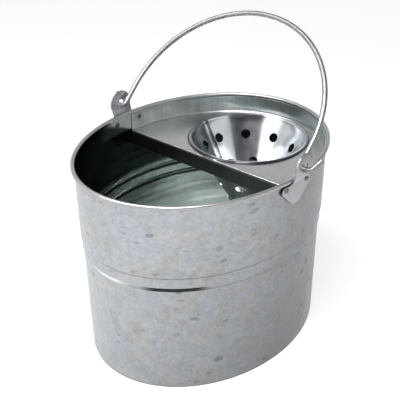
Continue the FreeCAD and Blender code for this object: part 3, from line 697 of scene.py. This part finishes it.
def cut_with(piece, bm):
    cutter = new_object("cutter", bm)
    change = piece.modifiers.new("holes", "BOOLEAN")
    change.operation = "DIFFERENCE"
    change.solver = "EXACT"
    change.object = cutter
    apply_modifiers(piece)
    bpy.data.objects.remove(cutter)
    shade(piece, 35)


def build_cone():
    """The cone's sheet with its rolled lip, lap seam and drain holes. Its back has a dark material of
    painted shade.
    """
    foot = PLATE - CONE_DEPTH
    lip_foot = PLATE + COLLAR_RISE + 0.03
    crest_z = CONE_HIGH[2]
    skin = CONE_SHEET * math.hypot(1, CONE_SLOPE)
    roll = 1.6
    lean = math.atan(CONE_SLOPE)
    inner = [(CONE_FOOT + CONE_SLOPE * h, foot + h, 1) for h in spread(0, CONE_DEPTH - 1.2, 13)]
    bend_r, bend_z, _ = inner[-1]
    bend = [(bend_r + roll * (math.cos(lean) - math.cos(t)), bend_z + roll * (math.sin(t) - math.sin(lean)))
            for t in spread(lean, math.pi / 2, 8)[1:]]
    lift = (crest_z - bend[-1][1]) / len(bend)
    crown = [(r, z + lift * (i + 1), 0) for i, (r, z) in enumerate(bend)]
    crown.append(((bend[-1][0] + LIP - 0.7) / 2, crest_z, 0))
    lip_edge = [(0.75, 0.12), (0.35, 0.28), (0.08, 0.6), (0.0, 0.9)]
    crown += [(LIP - back, crest_z - drop, 0) for back, drop in lip_edge]
    outer = [(LIP, lip_foot, 0), (CONE_MOUTH + CONE_SKIN, lip_foot, 0)]
    outer += [(CONE_FOOT + skin + CONE_SLOPE * h, foot + h, 0) for h in spread(CONE_DEPTH, 0, 13)]
    rows = []
    for radius, z, seamed in inner + crown + outer:
        row = []
        for turn, rise in cone_columns(radius):
            reach = radius - rise * seamed
            row.append((CONE_X + reach * math.cos(turn), reach * math.sin(turn), z))
        rows.append(row)
    bm = bmesh.new()
    grid_mesh(bm, rows, wrap_rows=True)
    outward(bm)
    bright_rows = len(inner) + len(crown) + 1
    for number, face in enumerate(bm.faces):
        face.material_index = int(number // len(rows[0]) >= bright_rows)
    piece = finish_mesh("cone_sheet", bm, "cone_sheet", CONE_ZINC, CONE_BACK_SHADE, sharp=35,
                        replaced=["wringer_cone"])
    cut_with(piece, drain_cutters())


def build_cup():
    """The perforated cup over the cone's foot."""
    floor, high = CUP_LOW[2] + SHEET, CUP_HIGH[2]
    inside = CONE_FOOT + CONE_SKIN + SEAT_GAP
    climb = CONE_SLOPE * (high - floor)
    outside = inside + CONE_SKIN
    profile = [(inside, floor), (inside + climb, high), (outside + climb, high), (outside, floor + 0.1),
               (outside - 0.3, floor - 0.5), (outside - 0.9, floor - SHEET), (12, floor - SHEET)]
    bm = bmesh.new()
    made = grid_mesh(bm, [[(CONE_X + r * math.cos(t), r * math.sin(t), z) for t in full_turn(96)]
                          for r, z in profile])
    cap(bm, made[0], (CONE_X, 0, floor))
    cap(bm, made[-1], (CONE_X, 0, floor - SHEET))
    outward(bm)
    piece = finish_mesh("foot_cup", bm, "cone_sheet", CONE_ZINC, sharp=35, replaced=["cone_cup"])
    hole, pitch = 3.25, 11.5
    holes = bmesh.new()
    for out, turn in [(0, 0)] + [(pitch, t) for t in full_turn(6)]:
        place = (CONE_X + out * math.cos(turn), out * math.sin(turn), floor)
        add_cutter(holes, hole, 6, 28, Matrix.Translation(place))
    cut_with(piece, holes)


# ------------------------------------------------------------------ the bail
def bail_path():
    """Points along the bail in its own plane, across and up from the pivot, near foot to far foot."""
    leg, corner, pin, hook, tail = 29.2, 5.0, 4.2, 7.0, 12.5
    turn = math.radians(66)
    end = BAIL_SPREAD + corner + pin
    bend = (end + hook * math.sin(turn), hook - hook * math.cos(turn))
    side = [(bend[0] + u * math.cos(turn), bend[1] + u * math.sin(turn)) for u in spread(tail, 0, 5)]
    side += [(end + hook * math.sin(t), hook - hook * math.cos(t)) for t in spread(turn, 0, 9)[1:]]
    side += [(end - pin, 0.0)]
    side += [(BAIL_SPREAD + corner - corner * math.sin(t), corner - corner * math.cos(t))
             for t in spread(0, math.pi / 2, 8)[1:]]
    side += [(BAIL_SPREAD, (leg + corner) / 2)]
    arch = [(BAIL_SPREAD * math.cos(t), leg + BAIL_SPREAD * math.sin(t)) for t in spread(0, math.pi, 97)]
    return side + arch + [(-x, y) for x, y in reversed(side)]


def build_bail():
    """The wire along that path, with its two ends chamfered."""
    path = [Vector((up * math.sin(BAIL_LEAN), across, PIVOT + up * math.cos(BAIL_LEAN)))
            for across, up in bail_path()]
    first, last = (path[1] - path[0]).normalized(), (path[-1] - path[-2]).normalized()
    tip = BAIL_WIRE - WIRE_CHAMFER
    rings = [(path[0], first, tip), (path[0] + first * WIRE_CHAMFER, first, BAIL_WIRE)]
    for i in range(1, len(path) - 1):
        rings.append((path[i], (path[i + 1] - path[i - 1]).normalized(), BAIL_WIRE))
    rings += [(path[-1] - last * WIRE_CHAMFER, last, BAIL_WIRE), (path[-1], last, tip)]
    side = Vector((math.cos(BAIL_LEAN), 0, -math.sin(BAIL_LEAN)))
    rows = []
    for point, ahead, radius in rings:
        across = ahead.cross(side).normalized()
        rows.append([point + radius * (math.cos(t) * side + math.sin(t) * across) for t in full_turn(24)])
    bm = bmesh.new()
    made = grid_mesh(bm, rows)
    cap(bm, made[0], path[0])
    cap(bm, made[-1], path[-1])
    outward(bm)
    finish_mesh("bail_loop", bm, "bail_wire", BAIL_ZINC, sharp=35, body="bail", replaced=["bail_handle"])


# ------------------------------------------------------------------ ears and rivets
EAR_SIDES = {"ear_near": -1, "ear_far": 1}
RIVET_SIDES = {"rivet_near_front": -1, "rivet_near_rear": -1, "rivet_far_front": 1, "rivet_far_rear": 1}
EAR_SHEET = 1.2
EAR_SHIFT = 2.5         # how far the base plate stands to one side of the eye
EYE_RADIUS = 5.4
RIVET_Z = TOP - 10.9
SHOULDER = TOP - 7.2
CORNER = TOP - 14.0
EAR_FOOT = TOP - 33.2
JOGGLE = 3.4            # height over which the ear steps out round the rim


def rounded_corners(corners):
    """An outline with each (x, z, radius) corner turned into an arc."""
    steps = 7
    outline = []
    for i, (x, z, radius) in enumerate(corners):
        here = Vector((x, z))
        if radius <= 0:
            outline.append((x, z))
            continue
        back = (Vector(corners[i - 1][:2]) - here).normalized()
        on = (Vector(corners[(i + 1) % len(corners)][:2]) - here).normalized()
        half = back.angle(on) / 2
        reach = radius / math.tan(half)
        centre = here + (back + on).normalized() * radius / math.sin(half)
        start, end = here + back * reach - centre, here + on * reach - centre
        sweep = start.angle_signed(end)
        for k in range(steps):
            turned = start.copy()
            turned.rotate(Matrix.Rotation(-sweep * k / (steps - 1), 2))
            outline.append(tuple(centre + turned))
    return outline


def ear_outline(shift):
    """Base plate with a pointed foot, notches at its shoulders and a round head."""
    neck, head, notch = 15.5, 16.5, 1.3
    climb = math.acos(neck / head)
    right = [(shift + 6.5, EAR_FOOT, 6), (shift + 26.5, CORNER, 3.5), (shift + 24.0, SHOULDER, 2.5)]
    left = [(shift - 24.0, SHOULDER, 2.5), (shift - 26.5, CORNER, 3.5)]
    right_notch = [
        (neck + notch * 0.6 + notch * math.cos(t), SHOULDER + notch * math.sin(t), 0)
        for t in spread(0, -math.pi * 1.2, 9)
    ]
    left_notch = [(-x, z, 0) for x, z, _ in reversed(right_notch)]
    top = [(head * math.cos(t), EAR_EYE + head * math.sin(t), 0)
           for t in spread(-climb, math.pi + climb, 41)]
    return rounded_corners([(shift - 6.5, EAR_FOOT, 6)] + right + right_notch + top + left_notch + left)


def smooth_blend(z, low, high):
    """A ramp from 0 to 1 with rounded ends."""
    soften = 0.9

    def ramp_area(x):
        if x < -soften:
            return 0.0
        if x > soften:
            return x
        return (x + soften) ** 2 / (4 * soften)
    return (ramp_area(z - low) - ramp_area(z - high)) / (high - low)


def ear_y(z, plate, shelf, tab):
    """How far out the ear's middle layer stands at one height: base plate, shelf over the rim, tab."""
    low, high = SHOULDER, SHOULDER + JOGGLE
    kink = EAR_EYE - 3.0
    return plate + (shelf - plate) * smooth_blend(z, low, high) + (tab - shelf) * smooth_blend(z, high, kink)


def build_ear(node, side):
    """Pressed ear: flat base plate, joggle round the rim, tab with the bail's eye."""
    low, high = box_mm(node)
    near_y, far_y = sorted((abs(low[1]), abs(high[1])))
    plate, tab = near_y + EAR_SHEET / 2, far_y - EAR_SHEET / 2
    shelf = HALF_WIDTH + 0.5 + EAR_SHEET / 2
    eye = [(EYE_RADIUS * math.cos(t), EAR_EYE + EYE_RADIUS * math.sin(t)) for t in full_turn(32)]
    bm = bmesh.new()
    edges = []
    for loop in (ear_outline(EAR_SHIFT * side), eye):
        verts = [bm.verts.new((x, 0, z)) for x, z in loop]
        edges += [bm.edges.new((verts[i - 1], verts[i])) for i in range(len(verts))]
    bmesh.ops.triangle_fill(bm, edges=edges, use_beauty=True)
    for z in spread(SHOULDER - 1.2, SHOULDER + 4.8, 13) + spread(EAR_EYE - 5, EAR_EYE - 1.5, 6):
        bmesh.ops.bisect_plane(bm, geom=bm.verts[:] + bm.edges[:] + bm.faces[:],
                               plane_co=(0, 0, z), plane_no=(0, 0, 1), dist=1e-5)
    for vert in bm.verts:
        vert.co.y = side * ear_y(vert.co.z, plate, shelf, tab)
    outward(bm)
    piece = finish_mesh(node + "_sheet", bm, "ear_sheet", EAR_ZINC, sharp=30, replaced=[node])
    solid = piece.modifiers.new("sheet", "SOLIDIFY")
    solid.thickness = EAR_SHEET * MM
    solid.offset = 0
    bevel = piece.modifiers.new("edges", "BEVEL")
    bevel.width = 0.22 * MM
    bevel.segments = 2
    bevel.limit_method = "ANGLE"
    bevel.angle_limit = math.radians(50)
    apply_modifiers(piece)
    shade(piece, 40)


def build_rivet(node, side):
    """Domed head outside, flatter formed head inside, on one shank."""
    low, high = box_mm(node)
    x = (low[0] + high[0]) / 2
    near_y, far_y = sorted((abs(low[1]), abs(high[1])))
    head, shank, dome, formed, tip = 3.1, 1.8, 1.9, 1.33, 0.01
    profile = [(tip, far_y)]
    profile += [(head * math.sin(t), far_y - dome * (1 - math.cos(t)) * 0.94)
                for t in spread(0.2, math.pi / 2, 9)]
    profile += [(head, far_y - dome), (shank, far_y - dome), (shank, near_y + formed),
                (head, near_y + formed)]
    profile += [(head * math.sin(t), near_y + formed * (1 - math.cos(t)) * 0.9)
                for t in spread(math.pi / 2, 0.2, 8)]
    profile += [(tip, near_y)]
    bm = bmesh.new()
    made = grid_mesh(bm, [[(x + r * math.cos(t), side * y, RIVET_Z + r * math.sin(t)) for t in full_turn(28)]
                          for r, y in profile])
    bm.faces.new(made[0])
    bm.faces.new(made[-1])
    outward(bm)
    finish_mesh(node + "_head", bm, "rivet_steel", RIVET_ZINC, replaced=[node])


build_wall()
build_seam()
build_pan()
build_plate()
build_cone()
build_cup()
build_bail()
for ear, ear_side in EAR_SIDES.items():
    build_ear(ear, ear_side)
for rivet, rivet_side in RIVET_SIDES.items():
    build_rivet(rivet, rivet_side)

rim_wire = frame["nodes"]["rim_wire"].data
rim_wire.materials.clear()
rim_wire.materials.append(RIM_WIRE)

# ------------------------------------------------------------------ camera, floor and light, in metres
CAMERA_PLACE = Vector((-0.6150, -0.5268, 0.62305))
YAW, PITCH, ROLL = -0.8555, 0.5139, -0.0082
LENS = 68.245

ahead = Vector((-math.cos(PITCH) * math.sin(YAW), math.cos(PITCH) * math.cos(YAW), -math.sin(PITCH)))
right = ahead.cross(Vector((0, 0, 1))).normalized()
up = right.cross(ahead)
right, up = (
    math.cos(ROLL) * right + math.sin(ROLL) * up,
    -math.sin(ROLL) * right + math.cos(ROLL) * up,
)
camera_data = bpy.data.cameras.new("camera")
camera_data.sensor_width = 36.0
camera_data.lens = LENS
camera = bpy.data.objects.new("camera", camera_data)
camera.matrix_world = Matrix.Translation(CAMERA_PLACE) @ Matrix((right, up, -ahead)).transposed().to_4x4()
bpy.context.scene.collection.objects.link(camera)
bpy.context.scene.camera = camera
bpy.context.scene.view_settings.view_transform = "Standard"

# the cards and the key light are placed along the camera's two level directions
LEVEL_AHEAD = Vector((ahead.x, ahead.y, 0)).normalized()
LEVEL_RIGHT = Vector((LEVEL_AHEAD.y, -LEVEL_AHEAD.x, 0))


def on_stage(along, across, height):
    """A place given along and across the camera's level direction."""
    return LEVEL_AHEAD * along + LEVEL_RIGHT * across + Vector((0, 0, height))


def stage_plane(name, place, normal, size, material, shown=False):
    """A flat card of the studio. Unless it is shown, only reflections and shadows know of it."""
    mesh = bpy.data.meshes.new(name)
    w, h = size[0] / 2, size[1] / 2
    mesh.from_pydata([(-w, -h, 0), (w, -h, 0), (w, h, 0), (-w, h, 0)], [], [(0, 1, 2, 3)])
    mesh.materials.append(material)
    card = bpy.data.objects.new(name, mesh)
    bpy.context.scene.collection.objects.link(card)
    card.rotation_mode = "QUATERNION"
    card.rotation_quaternion = Vector(normal).to_track_quat("Z", "Y")
    card.location = place
    card.visible_camera = shown
    return card


def plain(name, colour, glow=0.0):
    """A matt material without gloss."""
    material = bpy.data.materials.new(name)
    material.use_nodes = True
    inputs = material.node_tree.nodes["Principled BSDF"].inputs
    inputs["Base Color"].default_value = (*colour, 1)
    inputs["Roughness"].default_value = 0.9
    inputs["Specular IOR Level"].default_value = 0.0
    inputs["Emission Color"].default_value = (1, 1, 1, 1)
    inputs["Emission Strength"].default_value = glow
    return material


def level(vector):
    return Vector((vector.x, vector.y, 0))


def build_stage():
    """The white floor, two dark cards that darken the metal's reflections and a grey one on the floor."""
    upwards = (0, 0, 1)
    stage_plane("floor", (0, 0, 0), upwards, (12, 12), plain("floor_white", (0.25, 0.25, 0.25), 0.78), True)
    dark = plain("dark_card", (0.015, 0.015, 0.017))
    behind = on_stage(-1.34, 0.04, 1.25)
    stage_plane("card_behind_camera", behind, -level(behind), (2.3, 1.7), dark)
    beside = on_stage(0.31, 0.95, 0.24)
    stage_plane("card_beside", beside, -level(beside), (0.8, 0.46), dark)
    grey = plain("grey_card", (0.8, 0.8, 0.8))
    card = stage_plane("card_right", on_stage(0.1, 0.62, 0.002), upwards, (0.6, 1.6), grey)
    card_turn = math.atan(0.23)     # its long edge runs outwards, away from the camera
    card.rotation_mode = "XYZ"
    card.rotation_euler = (0, 0, math.atan2(LEVEL_RIGHT.y, LEVEL_RIGHT.x) - card_turn)


SKY = [(0.0, (0.95, 0.95, 0.95)), (0.50, (0.80, 0.81, 0.82)), (0.68, (0.30, 0.31, 0.32)),
       (0.85, (0.08, 0.085, 0.09)), (1.0, (0.04, 0.042, 0.045))]   # from the horizon to overhead


def build_world():
    """A studio that is bright near the floor and dark overhead."""
    world = bpy.data.worlds.new("studio")
    world.use_nodes = True
    tree = world.node_tree
    coords = tree.nodes.new("ShaderNodeTexCoord")
    parts = tree.nodes.new("ShaderNodeSeparateXYZ")
    ramp = tree.nodes.new("ShaderNodeValToRGB")
    background = tree.nodes["Background"]
    background.inputs["Strength"].default_value = 0.95
    tree.links.new(coords.outputs["Generated"], parts.inputs[0])
    tree.links.new(parts.outputs["Z"], ramp.inputs["Fac"])
    tree.links.new(ramp.outputs["Color"], background.inputs["Color"])
    stops = ramp.color_ramp.elements
    for stop, (place, colour) in zip(stops, (SKY[0], SKY[-1])):
        stop.position, stop.color = place, (*colour, 1)
    for place, colour in SKY[1:-1]:
        stops.new(place).color = (*colour, 1)
    bpy.context.scene.world = world


def area_light(name, place, target, size, power):
    data = bpy.data.lights.new(name, "AREA")
    data.shape = "RECTANGLE"
    data.size, data.size_y = size
    data.energy = power
    lamp = bpy.data.objects.new(name, data)
    bpy.context.scene.collection.objects.link(lamp)
    lamp.location = place
    lamp.rotation_mode = "QUATERNION"
    lamp.rotation_quaternion = (Vector(place) - Vector(target)).to_track_quat("Z", "Y")


build_stage()
build_world()
area_light("key", on_stage(-0.72, -0.2, 1.75), (0, 0, 0.1), (0.6, 0.45), 38)
area_light("fill", (-1.7, 0.6, 1.2), (0, 0, 0.1), (1.2, 1.2), 8)
area_light("edge", (-0.62, 0.54, 1.5), (0, 0, 0.2), (0.5, 0.3), 9)
